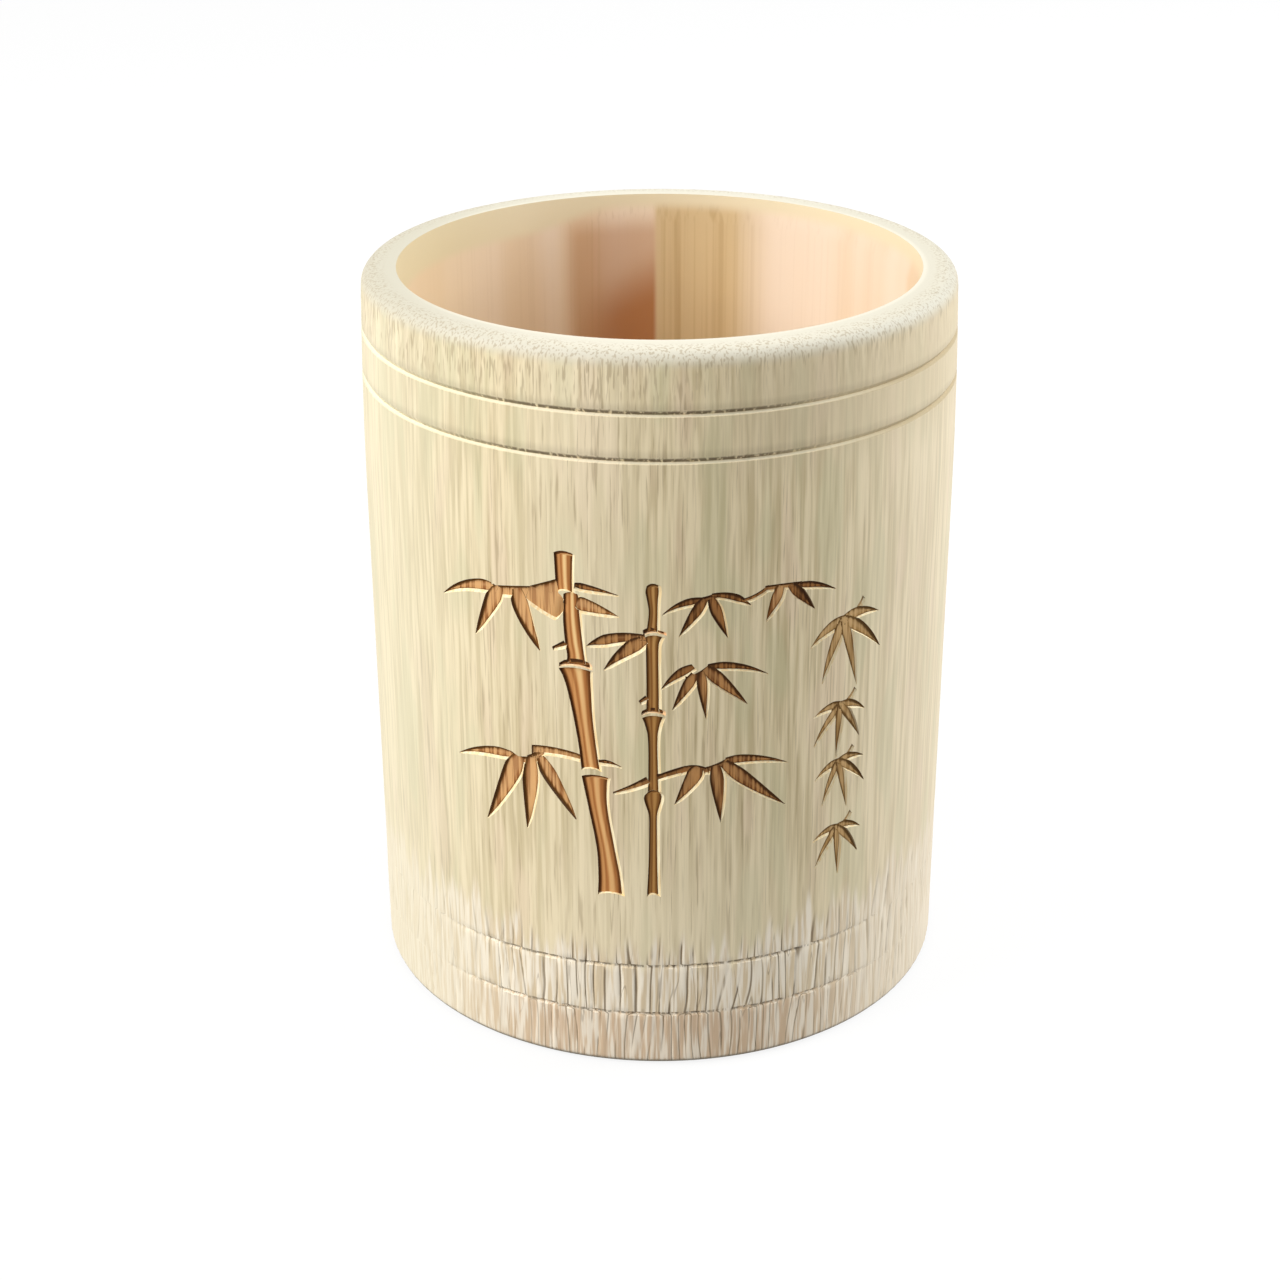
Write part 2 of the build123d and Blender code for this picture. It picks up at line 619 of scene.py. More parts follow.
def leafHalf(share, width, waist):
    # a blunt base, straight sides, and a round tip
    blunt = carving["leafBase"]
    if share < waist:
        return width / 2 * (blunt + (1 - blunt) * math.sin(math.pi / 2 * share / waist))
    taper = width / 2 * (1 - ((share - waist) / (1 - waist)) ** carving["leafTaper"])
    return max(taper, carving["leafTip"] * math.sqrt(1 - share**12))


def cutSolid(lengthSteps, acrossSteps, along, mark, place):
    # a grid for the floor, raised through the skin, then bent to its shape
    # by place(share, across, raised)
    bm = bmesh.new()
    bmesh.ops.create_grid(bm, x_segments=lengthSteps, y_segments=acrossSteps, size=0.5)
    raisedGeom = bmesh.ops.extrude_face_region(bm, geom=bm.faces[:])["geom"]
    raised = [v for v in raisedGeom if isinstance(v, bmesh.types.BMVert)]
    bmesh.ops.translate(bm, verts=raised, vec=(0, 0, 1))
    bmesh.ops.recalc_face_normals(bm, faces=bm.faces[:])
    left = leftOf(along)
    layer = bm.loops.layers.uv.new("cut")
    for face in bm.faces:
        floor = all(v.co.z < 0.5 for v in face.verts)
        face.material_index = 0 if floor else 1
        outward = along * face.normal.x + left * face.normal.y
        onLeft = face.calc_center_median().y > 0
        for loop in face.loops:
            share, across = loop.vert.co.x + 0.5, loop.vert.co.y * 2
            # a floor carries its burn and painted shade, a wall how far it faces the burnt, shaded side
            burnShade = mark(share, across, onLeft) if floor else outward.dot(carving["burntShadedSide"])
            loop[layer].uv = (burnShade, share)
    for vert in bm.verts:
        vert.co = place(vert.co.x + 0.5, vert.co.y * 2, vert.co.z > 0.5)
    bm.normal_update()
    return bm


def strokeSolid(start, end, bow, floorDepth, burntShadedSides, halfAt):
    start, end = Vector(start), Vector(end)
    length = (end - start).length
    along = (end - start) / length
    slopes = {1: sideSlope(leftOf(along), start.x), -1: sideSlope(-leftOf(along), start.x), 0: 0}
    burntShadedOnLeft = leftOf(along).dot(carving["burntShadedSide"]) > 0
    rim = abs(along.x) * floorDepth / 2

    # the way to the nearest edge with burn and painted shade, under 0 in the half where they are light;
    # under a rim that overhangs, they go further
    def mark(share, across, onLeft):
        heavy = onLeft == burntShadedOnLeft
        edge = (1 - abs(across)) * halfAt(share)
        if burntShadedSides < (1 if heavy else 2):
            edge = carving["unburntUnshaded"]
        return max(edge - rim, carving["leastEdge"]) if heavy else -edge

    # a thin stroke is shallower, and its sides spread less
    def place(share, across, raised):
        half = max(halfAt(share), near)
        least, full = carving["thinDepth"]
        depth = floorDepth * min(1, least + half / full)
        least, full = carving["thinSpread"]
        spread = (1 + carving["clear"] / depth) * min(1, least + half / full) if raised else 0
        aside = across * (half + slopes[round(across)] * spread)
        run = share + (share - 0.5) * carving["endSpread"] * spread / length
        spot = besideRun(start, end, run, bow, aside)
        return onWall(spot.x, spot.y, -carving["clear"] if raised else depth)

    return cutSolid(carving["leafSteps"], 2, along, mark, place)


def leafSolid(leaf, floorDepth, burntShadedSides=2):
    start, tip, width, bow, waist = leaf

    def halfAt(share):
        return leafHalf(share, width, waist)

    return strokeSolid(start, tip, bow, floorDepth, burntShadedSides, halfAt)


def twigSolid(twig, floorDepth):
    start, end, startWidth, endWidth, bow = twig

    def halfAt(share):
        return (startWidth + (endWidth - startWidth) * share) / 2

    return strokeSolid(start, end, bow, floorDepth, 1, halfAt)


def sideAt(stations, side, z):
    # a culm joint's left (1) or right (2) side at a height, on a smooth line through its stations
    heights = [station[0] for station in stations]
    places = [station[side] for station in stations]
    last = len(stations) - 1
    i = max(k for k in range(last) if heights[k] >= z or k == 0)
    slope = []
    for k in (i, i + 1):
        before, after = max(k - 1, 0), min(k + 1, last)
        slope.append((places[after] - places[before]) / (heights[after] - heights[before]))
    step = heights[i + 1] - heights[i]
    t = (z - heights[i]) / step
    ease = t * t * (3 - 2 * t)
    pull = slope[0] * t * (1 - t) ** 2 - slope[1] * t * t * (1 - t)
    return places[i] + (places[i + 1] - places[i]) * ease + pull * step


def jointSolid(stations, floorDepth, endSlope, capBurnShade):
    down = Vector((0, -1))
    top, foot = stations[0][0], stations[-1][0]
    rows = max(round((top - foot) / carving["culmRow"]), 2)
    slopes = {turn: sideSlope(Vector((turn, 0)), stations[0][1]) for turn in (1, -1)}

    # burn and painted shade: from 1 on the left side to -1 on the right, and over 1 along the top
    def mark(share, across, onLeft):
        return max(-across, capBurnShade if share < near else -1)

    def place(share, across, raised):
        z = top + (foot - top) * share
        left, right = sideAt(stations, 1, z), sideAt(stations, 2, z)
        half = (right - left) / 2
        spread = 1 + carving["clear"] / floorDepth if raised else 0
        u = (left + right) / 2 + across * (half + slopes[1 if across > 0 else -1] * spread)
        if share == 0:
            z += carving["steepSide"] * spread
        if share == 1:
            z -= endSlope * spread
        ends = (1 - share) ** carving["archPower"] + share ** carving["archPower"]
        z += carving["arch"] * (1 - across * across) * ends
        crown = carving["crown"] * min(half, 1) * (1 - across * across)
        return onWall(u, z, -carving["clear"] if raised else floorDepth - crown)

    return cutSolid(rows, carving["culmAcross"], down, mark, place)


# A column of small leaf fans to the right of the culms, cut shallower; a fan's leaves by turn and reach
fans = {
    "depth": 0.24,
    "spots": ((25.0, 62.4, 10.5), (24.9, 50.4, 7.8), (24.9, 42.2, 7.6), (25.0, 32.4, 7.4)),
    "tilts": (8, -10, 6, -4),
    "leaves": ((-160, 0.56), (-120, 0.84), (-84, 0.96), (-48, 0.82), (-12, 0.58)),
    "leafStart": 0.04,
    "leafWidth": 0.15,
    "leafBow": 0.06,
    "leafWaist": 0.3,
    "twigStart": (-0.05, -0.05),
    "twigTip": (0.3, 0.22),
    "twigWidths": (0.8, 0.5),
    "twigBow": -0.05,
}


def fanCuts(number):
    u, z, tall = fans["spots"][number]
    hub = Vector((u, z))
    depth = fans["depth"]
    cuts = []
    for turn, reach in fans["leaves"]:
        aim = math.radians(turn + fans["tilts"][number])
        along = Vector((math.cos(aim), math.sin(aim))) * tall
        start, tip = hub - along * fans["leafStart"], hub + along * reach
        leaf = (start, tip, fans["leafWidth"] * tall, fans["leafBow"] * along.x, fans["leafWaist"])
        cuts.append(leafSolid(leaf, depth))
    start, tip = (hub + Vector(fans[end]) * tall for end in ("twigStart", "twigTip"))
    cuts.append(twigSolid((start, tip, *fans["twigWidths"], fans["twigBow"] * tall), depth))
    return cuts


def carveWall(wallBm, finishes):
    c = carving
    home = bpy.data.collections.new("cutters")
    sceneHome.children.link(home)

    def addCutter(bm, floor, side="side"):
        makeObject("cutter", bm, (finishes[floor], finishes[side]), home)

    for culm, joints in (("thickCulm", thickCulm), ("thinCulm", thinCulm)):
        for stations in joints:
            if stations[0][0] - stations[-1][0] < c["ringHeight"]:
                ring = jointSolid(stations, c["ringDepth"], c["ringSlope"], c["capBurnShade"])
                addCutter(ring, "ring", "ringSide")
                continue
            capBurnShade = c["capBurnShade"] if stations in (joints[0], joints[-1]) else -1
            addCutter(jointSolid(stations, c["depth"], c["endSlope"], capBurnShade), culm)
    for spray in leaves:
        for leaf in leaves[spray]:
            addCutter(leafSolid(leaf, c["depth"]), spray)
        for twig in twigs[spray]:
            addCutter(twigSolid(twig, c["depth"]), spray)
    for fork in forks:
        addCutter(leafSolid(fork, c["forkDepth"], 0), "leftLeaf")
    for number in range(len(fans["spots"])):
        for cut in fanCuts(number):
            addCutter(cut, "fanLeaf")
    wallBm.loops.layers.uv.new("cut")
    blank = makeObject("blank", wallBm, (finishes["skin"], finishes["bore"]))
    cut = blank.modifiers.new("cut", "BOOLEAN")
    cut.operation = "DIFFERENCE"
    cut.operand_type = "COLLECTION"
    cut.collection = home
    cut.solver = "EXACT"
    cut.material_mode = "TRANSFER"
    bpy.context.view_layer.update()
    depsgraph = bpy.context.evaluated_depsgraph_get()
    carved = bpy.data.meshes.new_from_object(blank.evaluated_get(depsgraph))
    bm = bmesh.new()
    bm.from_mesh(carved)
    for cutter in home.objects[:]:
        bpy.data.objects.remove(cutter)
    bpy.data.collections.remove(home)
    bpy.data.objects.remove(blank)
    return bm, list(carved.materials)


# Finishes of the wall
skinTones = {
    "pale": shade(242, 225, 186),
    "grey": shade(206, 188, 146),
    "green": shade(202, 198, 156),
    "pink": shade(234, 208, 178),
    "low": shade(252, 238, 204),
    "leftPaintedLight": shade(230, 224, 197),
    "rightPaintedLight": shade(230, 216, 192),
    "calm": shade(217, 200, 165),
    "hair": shade(150, 128, 90),
    "tornPale": shade(255, 244, 224),
    "tornTan": shade(226, 205, 171),
    "tornSideLight": shade(230, 212, 184),
    "footPink": shade(208, 174, 142),
    "split": shade(104, 82, 54),
    "lip": shade(214, 209, 192),
    "lipShade": shade(186, 181, 162),
    "lipEdgeHighlight": shade(218, 213, 196),
    "endGrain": shade(160, 140, 106),
    "groove": shade(84, 68, 44),
    "grooveHighlight": shade(246, 238, 212),
    "grooveShade": shade(184, 166, 128),
    "endCut": shade(222, 204, 166),
    "paintedContactShadow": shade(106, 97, 78),
}

# its streaks: their size across the fibres and along them, their detail and their shift
skinGrain = {
    "broad": (6.0, 70.0, 2.0, 3.0),
    "middle": (0.6, 18.0, 2.0, 11.0),
    "fine": (0.34, 9.0, 2.0, 23.0),
    "patches": (4.0, 20.0, 1.0, 61.0),
    "strokes": (0.5, 8.0, 2.0, 37.0),
    "threads": (1.3, 24.0, 0.0, 83.0),
    "splitGaps": (1.5, 9.0, 1.0, 29.0),
    "ends": (0.3, 3.0, 1.0, 51.0),
    "ragged": (0.5, 3.0, 2.0, 71.0),
}

# where on the cup a tone sets in, and where it is full, in millimetres
skinPlaces = {
    "lowPart": (46.0, 20.0),
    "lowFront": (32.0, 4.0),
    "brightRun": (11.0, 3.0),
    "brightPart": (42.0, 60.0),
    "hairRight": (12.0, 32.0),
    "tornSides": (20.0, 36.0),
    "footBand": (8.6, 7.6),
    "pinkFront": (36.0, 12.0),
    "boldLeft": (-28.0, -10.0),
    "boldRight": (34.0, 14.0),
    "leftSide": (-16.0, -37.0),
    "rightSide": (16.0, 37.0),
    "calmRight": (0.0, 18.0),
    "calmPart": (80.0, 90.0),
    "lipLeft": (-8.0, -36.0),
    "lipRight": (10.0, 36.0),
    "lipTop": (97.4, 99.5),
    "highlightIn": (35.6, 34.9),
    "highlightUp": (99.7, 99.9),
    "highlightLeft": (-34.0, -20.0),
    "endsRight": (-6.0, 14.0),
    "endsDown": (98.4, 96.5),
    "endsUp": (91.5, 95.5),
    "endsOut": (35.7, 37.5),
    "burnShadeLeft": (-36.0, -14.0),
    "burnShadeRight": (25.0, 9.0),
    "dullShadeRight": (16.0, 31.0),
    "highlightRight": (32.0, 18.0),
    "grooveSides": (33.0, 15.0),
    "ringUnder": (0.3, 0.02),
    "ringIn": (39.2, 38.7),
    "contactShadowLine": (1.05, 0.5),
    "contactShadowOut": (38.9, 39.3),
}

# the faces of a wide groove, by heights over its point
grooveFaces = {
    "dullShade": ((-0.35, -0.2), (0.6, 0.4)),
    "cleanAndHighlight": ((-0.27, -0.15), (0.0, -0.02)),
    "burnAndShade": ((0.0, 0.04), (0.62, 0.34)),
}


def culmSkin():
    f = Finish("culmSkin", Roughness=0.6)
    tones = skinTones
    at = skinPlaces
    grain = {name: f.streaks(*values) for name, values in skinGrain.items()}
    broad, middle, fine, patches = (grain[name] for name in ("broad", "middle", "fine", "patches"))
    x = f.axis("X")
    z = f.axis("Z")
    aside = x.size()
    level = f.node("VectorMath", {"operation": "MULTIPLY"}, {0: f.place, 1: (1, 1, 0)})
    radius = f.node("VectorMath", {"operation": "LENGTH"}, {0: level}, "Value")
    colour = f.mix(f.step(middle * 0.75 + broad * 0.25, 0.36, 0.64), tones["grey"], tones["pale"])
    colour = f.mix(f.step(patches, 0.52, 0.66) * 0.4, colour, tones["green"])
    colour = f.mix(f.step(patches, 0.46, 0.32) * 0.4, colour, tones["pink"])
    lowFront = f.step(z, *at["lowPart"]) * f.step(aside, *at["lowFront"])
    colour = f.mix(lowFront * 0.5, colour, tones["low"])
    brightRun = f.step((x + 10.0).size(), *at["brightRun"]) * f.step(z, *at["brightPart"])
    colour = f.mix(brightRun * 0.45, colour, tones["low"])
    hair = (0.18 + f.step(patches, 0.56, 0.4) * 0.3) * (1.0 - f.step(x, *at["hairRight"]) * 0.5)
    colour = f.mix(f.step(fine, 0.47, 0.3) * hair, colour, tones["hair"])
    # torn fibres over the foot: pale flames, and splits with a painted highlight along one side
    share = f.carried("tornShare")
    line = f.carried("splitLine")
    strokes = grain["strokes"]
    threads = (grain["threads"] - 0.5).size()
    tornColour = f.mix(f.step(strokes, 0.4, 0.6), tones["tornTan"], tones["tornPale"])
    # painted light: the torn fibres are paler to the sides
    tornColour = f.mix(f.step(aside, *at["tornSides"]) * 0.5, tornColour, tones["tornSideLight"])
    low = f.step(z, *at["footBand"])
    # a painted highlight along one side of each split
    splitHighlight = f.step(line, 0.2, 0.35) * f.step(line, 0.85, 0.6)
    tornColour = f.mix(splitHighlight * 0.6, tornColour, tones["tornPale"])
    pink = f.step(aside, *at["pinkFront"]) * (0.15 + f.step(strokes, 0.6, 0.4) * 0.55)
    tornColour = f.mix(low * pink, tornColour, tones["footPink"])
    split = f.step(line.size(), 0.34, 0.1) * f.step(grain["splitGaps"], 0.38, 0.5)
    split = split + f.step(threads, 0.012, 0.003) * 0.5
    bold = 0.28 + f.step(x, *at["boldLeft"]) * f.step(x, *at["boldRight"]) * 0.62 - low * 0.22
    tornColour = f.mix(split * bold, tornColour, tones["split"])
    colour = f.mix(share * 0.9, colour, tornColour)
    # painted light: the sides are paler than the front, and they are calmer
    colour = f.mix(f.step(x, *at["leftSide"]) * 0.5, colour, tones["leftPaintedLight"])
    colour = f.mix(f.step(x, *at["rightSide"]) * 0.45, colour, tones["rightPaintedLight"])
    colour = f.mix(f.step(x, *at["calmRight"]) * f.step(z, *at["calmPart"]) * 0.6, colour, tones["calm"])
    # the lip: pale on top, end grain over its shoulder, which runs down in short strokes
    lipShade = f.step(x, *at["lipLeft"]) * 0.6 + f.step(x, *at["lipRight"]) * 0.25
    lip = f.mix(lipShade, tones["lip"], tones["lipShade"])
    colour = f.mix(f.step(z, *at["lipTop"]), colour, lip)
    # a painted highlight along the lip's inner edge, left out on the far left
    edge = f.step(radius, *at["highlightIn"]) * f.step(z, *at["highlightUp"]) * f.step(x, *at["highlightLeft"])
    colour = f.mix(edge, colour, tones["lipEdgeHighlight"])
    fewer = 1.0 - f.step(x, *at["endsRight"]) * f.step(z, *at["endsDown"]) * 0.8
    grained = f.step(z, *at["endsUp"]) * f.step(radius, *at["endsOut"]) * fewer
    colour = f.mix(f.step(grain["ends"], 0.48, 0.36) * grained * 0.5, colour, tones["endGrain"])
    # the wide grooves: a burnt upper face with painted shade that fades to the sides, a clean lower face
    # with a painted highlight, and painted shade over the groove on the right
    faces = grooveFaces.values()
    ragged = grain["ragged"]
    burnAndShade = f.step(x, *at["burnShadeLeft"]) * f.step(x, *at["burnShadeRight"]) * f.step(ragged, 0.3, 0.5)
    for height, width, depth, drop in turning["lipGrooves"]:
        above = z - (height - drop)
        dullShade, cleanAndHighlight, dark = (f.step(above, *foot) * f.step(above, *top) for foot, top in faces)
        colour = f.mix(dullShade * f.step(x, *at["dullShadeRight"]) * 0.75, colour, tones["grooveShade"])
        colour = f.mix(cleanAndHighlight * f.step(x, *at["highlightRight"]) * 0.7, colour, tones["grooveHighlight"])
        colour = f.mix(dark * burnAndShade * 0.85, colour, tones["groove"])
    # the fine grooves: a dark upper face, burn and painted shade
    for height, width, depth, drop in turning["footGrooves"]:
        upper = f.step((z - (height + width * 0.15)).size(), width * 0.4, width * 0.15)
        upper = upper * f.step(ragged, 0.42, 0.56) * f.step(aside, *at["grooveSides"])
        colour = f.mix(upper * 0.65, colour, tones["groove"])
    # under the foot: the fibres' cut ends, and a painted contact shadow as a dark line along the outer
    # edge
    under = f.step(z, *at["ringUnder"]) * f.step(radius, *at["ringIn"])
    colour = f.mix(under, colour, tones["endCut"])
    colour = f.mix(f.step(grain["ends"], 0.5, 0.36) * under * 0.6, colour, tones["endGrain"])
    contactShadowLine = f.step(z, *at["contactShadowLine"]) * f.step(radius, *at["contactShadowOut"])
    colour = f.mix(contactShadowLine * 0.85, colour, tones["paintedContactShadow"])
    f.join("Base Color", colour)
    f.join("Normal", f.bump(fine * 0.5 + middle * 0.3 + strokes * share * 0.8, 0.05, 0.5))
    return f.material


boreTones = {
    "pale": shade(234, 214, 192),
    "peach": shade(226, 200, 168),
    "amber": shade(168, 96, 14),
    "dullShade": shade(210, 186, 149),
    "straw": shade(200, 174, 122),
    "strawLine": shade(170, 136, 88),
    "mouth": shade(226, 211, 178),
    "mouthDull": shade(202, 186, 146),
}

borePlaces = {
    "farSide": (5.0, 20.0),
    "dullShadeLeft": (-16.0, -31.0),
    "strawLeft": (-1.1, -0.2),
    "strawRight": (17.5, 10.0),
    "stainLeft": (-14.6, -11.6),
    "stainRight": (-0.2, -1.1),
    "stainUp": (35.0, 70.0),
    "stainTop": (98.0, 94.0),
    "deepLeft": (-15.0, -5.0),
    "deepTop": (94.0, 84.0),
    "linesFront": (15.0, 6.0),
    "mouthDull": (-18.0, -31.0),
    "mouthLeft": (-6.0, -20.0),
    "mouthUp": (97.3, 99.2),
}


def smoothBore():
    f = Finish("smoothBore", Roughness=0.5, Specular_IOR_Level=0.25)
    tones = boreTones
    at = borePlaces
    x = f.axis("X")
    z = f.axis("Z")
    broad = f.streaks(9.0, 160.0, 1.0, 41.0)
    grain = f.streaks(1.4, 120.0, 2.0, 45.0)
    colour = f.mix(f.step(broad, 0.36, 0.64), tones["peach"], tones["pale"])
    # the far side has a straw run, and beside it an amber stain; painted shade darkens it further
    # towards the run and downwards
    far = f.step(f.axis("Y"), *at["farSide"])
    # painted shade: the left inner wall is duller and darker
    colour = f.mix(f.step(x, *at["dullShadeLeft"]) * 0.65, colour, tones["dullShade"])
    straw = f.step(x, *at["strawLeft"]) * f.step(x, *at["strawRight"]) * far
    colour = f.mix(straw * 0.65, colour, tones["straw"])
    colour = f.mix(straw * f.step(grain, 0.5, 0.32) * 0.35, colour, tones["strawLine"])
    stain = f.step(x, *at["stainLeft"]) * f.step(x, *at["stainRight"]) * far * f.step(z, *at["stainUp"])
    colour = f.mix(stain * f.step(z, *at["stainTop"]) * 0.42, colour, tones["amber"])
    # painted shade, darker downwards and towards the run
    deepShade = stain * f.step(x, *at["deepLeft"]) * f.step(z - x * 0.5, *at["deepTop"])
    colour = f.mix(deepShade * 0.72, colour, tones["amber"])
    lines = f.step(f.streaks(0.5, 60.0, 2.0, 47.0), 0.5, 0.3) * far
    lines = lines * (0.06 + f.step(x.size(), *at["linesFront"]) * 0.12)
    colour = f.mix(lines, colour, tones["strawLine"])
    # the mouth is pale, in a wider run on the left, where it is dull
    mouth = f.mix(f.step(x, *at["mouthDull"]) * 0.7, tones["mouth"], tones["mouthDull"])
    colour = f.mix(f.step(z + f.step(x, *at["mouthLeft"]) * 2.6, *at["mouthUp"]), colour, mouth)
    f.join("Base Color", colour)
    f.join("Normal", f.bump(grain, 0.03, 0.25))
    return f.material


# floors of the cuts: burnt edges with painted shade, the two tones of the grain, and a clean tone used
# as painted highlight
floorTones = {
    "thickCulm": (shade(98, 56, 20), shade(176, 112, 58), shade(236, 174, 108), shade(255, 214, 150)),
    "thinCulm": (shade(92, 58, 22), shade(140, 92, 42), shade(190, 138, 74), shade(206, 156, 92)),
    "ring": (shade(76, 44, 16), shade(112, 70, 30), shade(156, 104, 56), shade(176, 122, 70)),
    "leftLeaf": (shade(104, 66, 24), shade(158, 102, 56), shade(222, 170, 112), shade(232, 184, 128)),
    "rightLeaf": (shade(80, 48, 18), shade(128, 80, 40), shade(196, 142, 86), shade(204, 154, 98)),
    "darkLeaf": (shade(70, 40, 14), shade(106, 66, 28), shade(168, 114, 62), shade(180, 128, 76)),
    "fanLeaf": (shade(104, 74, 34), shade(170, 132, 80), shade(206, 168, 114), shade(220, 184, 132)),
}


def culmFloor(name):
    f = Finish(name + "Floor", Roughness=0.65, Specular_IOR_Level=0.15)
    burnAndShade, dark, light, cleanAndHighlight = floorTones[name]
    side = f.inCut("X")
    z = f.axis("Z")
    fine = f.streaks(0.25, 9.0, 2.0, 5.0)
    # two painted highlight stripes that follow the culm's sides, as on a round stalk
    lane = side + f.streaks(5.0, 16.0, 1.0, 9.0) * 0.5 - 0.25
    broadStripe = (lane + 0.2).size()
    stripes = f.step(broadStripe, 0.42, 0.12) + f.step((lane - 0.5).size(), 0.24, 0.08) * 0.6
    colour = f.mix(stripes * 0.8 + fine * 0.6 - 0.25, dark, light)
    colour = f.mix(f.step(broadStripe, 0.3, 0.05) * (0.35 + f.step(z, 50.0, 62.0) * 0.6), colour, cleanAndHighlight)
    ragged = side + fine * 0.16 - 0.08
    colour = f.mix(f.step(ragged, -0.64, -0.86) * 0.9, colour, burnAndShade)
    colour = f.mix(f.step(ragged, 0.68, 0.9), colour, burnAndShade)
    f.join("Base Color", colour)
    f.join("Normal", f.bump(fine, 0.05, 0.5))
    return f.material


def leafFloor(name):
    f = Finish(name + "Floor", Roughness=0.7, Specular_IOR_Level=0.15)
    burnAndShade, dark, light, cleanAndHighlight = floorTones[name]
    toEdge = f.inCut("X")
    share = f.inCut("Y")
    grain = f.streaks(0.4, 8.0, 2.0, 5.0)
    heavy = f.step(toEdge, -0.001, 0.001)
    ragged = toEdge.size() + grain * 0.4 - 0.2
    colour = f.mix(f.step(grain, 0.4, 0.58), dark, light)
    # painted highlight towards the middle of the floor, burn and painted shade at its edges
    colour = f.mix(f.step(ragged, 0.3, 0.7) * 0.3, colour, cleanAndHighlight)
    colour = f.mix((1.0 - heavy) * f.step(ragged, 0.26, 0.06) * 0.7, colour, burnAndShade)
    colour = f.mix(heavy * f.step(ragged, 0.43, 0.18), colour, burnAndShade)
    colour = f.mix(f.step(share + grain * 0.3, 0.85, 1.15) * 0.55, colour, burnAndShade)
    f.join("Base Color", colour)
    f.join("Normal", f.bump(grain, 0.05, 0.5))
    return f.material


def cutSide(name, pale, bright):
    f = Finish(name, Roughness=0.6)
    grain = f.streaks(0.4, 5.0, 2.0, 15.0)
    cleanAndHighlight = f.mix(f.step(grain, 0.35, 0.65), pale, bright)
    # the walls that face the burnt, shaded side take a dark tone: burn and painted shade
    f.join("Base Color", f.mix(f.step(f.inCut("X"), -0.25, 0.15), cleanAndHighlight, shade(88, 52, 20)))
    return f.material


# The wall piece
wallBm = turnedWall()
roughenWall(wallBm)
markBore(wallBm)
print("turned wall:", len(wallBm.faces), "faces")
wallFinishes = {"skin": culmSkin(), "bore": smoothBore()}
wallFinishes["side"] = cutSide("cutSide", shade(246, 218, 164), shade(255, 242, 202))
wallFinishes["ringSide"] = cutSide("ringSide", shade(248, 206, 156), shade(255, 226, 184))
for culm in ("thickCulm", "thinCulm", "ring"):
    wallFinishes[culm] = culmFloor(culm)
for spray in ("leftLeaf", "rightLeaf", "darkLeaf", "fanLeaf"):
    wallFinishes[spray] = leafFloor(spray)
carvedBm, carvedFinishes = carveWall(wallBm, wallFinishes)
markTornFoot(carvedBm)
makePiece("carvedWall", carvedBm, carvedFinishes, "culm_wall")

# The base strips keep their solids' places, with eased edges
base = {
    "discRadius": 35.8,
    "recess": 1.2,
    "thickness": 7.0,
    "edgeChamfer": 0.5,
    "count": 11,
    "rimSegments": 192,
    "ease": 0.12,
    "easedAngle": 1.2,
    "easedLength": 20,
    "grainAcross": 1.2,
    "grainAlong": 40.0,
    "grainShift": 7.3,
    "toneDrift": 10,
    "driftTurn": 2.4,
    "dark": (186, 150, 100),
    "light": (216, 184, 134),
}


def baseStrip(number):
    b = base
    bm = bmesh.new()
    bmesh.ops.create_circle(bm, cap_ends=True, segments=b["rimSegments"], radius=b["discRadius"])
    bmesh.ops.translate(bm, verts=bm.verts[:], vec=(0, 0, b["recess"]))
    raised = bmesh.ops.extrude_face_region(bm, geom=bm.faces[:])["geom"]
    upper = [v for v in raised if isinstance(v, bmesh.types.BMVert)]
    bmesh.ops.translate(bm, verts=upper, vec=(0, 0, b["thickness"]))
    lower = [e for e in bm.edges if all(abs(v.co.z - b["recess"]) < 1e-4 for v in e.verts)]
    bevel(bm, lower, b["edgeChamfer"], 1, "EDGES")
    width = 2 * b["discRadius"] / b["count"]
    left = -b["discRadius"] + (number - 1) * width
    for place, outward in ((left, -1), (left + width, 1)):
        geom = bm.verts[:] + bm.edges[:] + bm.faces[:]
        plane = {"plane_co": (place, 0, 0), "plane_no": (outward, 0, 0)}
        cut = bmesh.ops.bisect_plane(bm, geom=geom, dist=1e-5, clear_outer=True, **plane)["geom_cut"]
        bmesh.ops.holes_fill(bm, edges=[e for e in cut if isinstance(e, bmesh.types.BMEdge)], sides=0)
    bmesh.ops.remove_doubles(bm, verts=bm.verts[:], dist=1e-3)
    bmesh.ops.recalc_face_normals(bm, faces=bm.faces[:])
    long = [e for e in bm.edges if len(e.link_faces) == 2 and e.calc_length() > b["easedLength"]]
    sharp = [e for e in long if e.calc_face_angle(0) > b["easedAngle"]]
    bevel(bm, sharp, b["ease"], 2, "EDGES")
    return bm


def stripFinish(number):
    b = base
    f = Finish("baseStrip%02d" % number, Roughness=0.55)
    stretch = (1 / b["grainAcross"], 1 / b["grainAlong"], 1 / b["grainAcross"])
    settings = {"operation": "MULTIPLY_ADD"}
    spot = f.node("VectorMath", settings, {0: f.place, 1: stretch, 2: (number * b["grainShift"], 0, 0)})
    grain = f.node("TexNoise", None, {"Vector": spot, "Scale": 1.0, "Detail": 3.0})
    drift = b["toneDrift"] * math.sin(number * b["driftTurn"])
    dark, light = (shade(*(part + drift for part in b[tone])) for tone in ("dark", "light"))
    f.join("Base Color", f.mix(f.step(grain, 0.35, 0.65), dark, light))
    f.join("Normal", f.bump(grain, 0.04, 0.4))
    return f.material


for number in range(1, base["count"] + 1):
    name = "baseStrip%02d" % number
    makePiece(name, baseStrip(number), [stripFinish(number)], "base_strip_%02d" % number)
print("base strips:", base["count"])

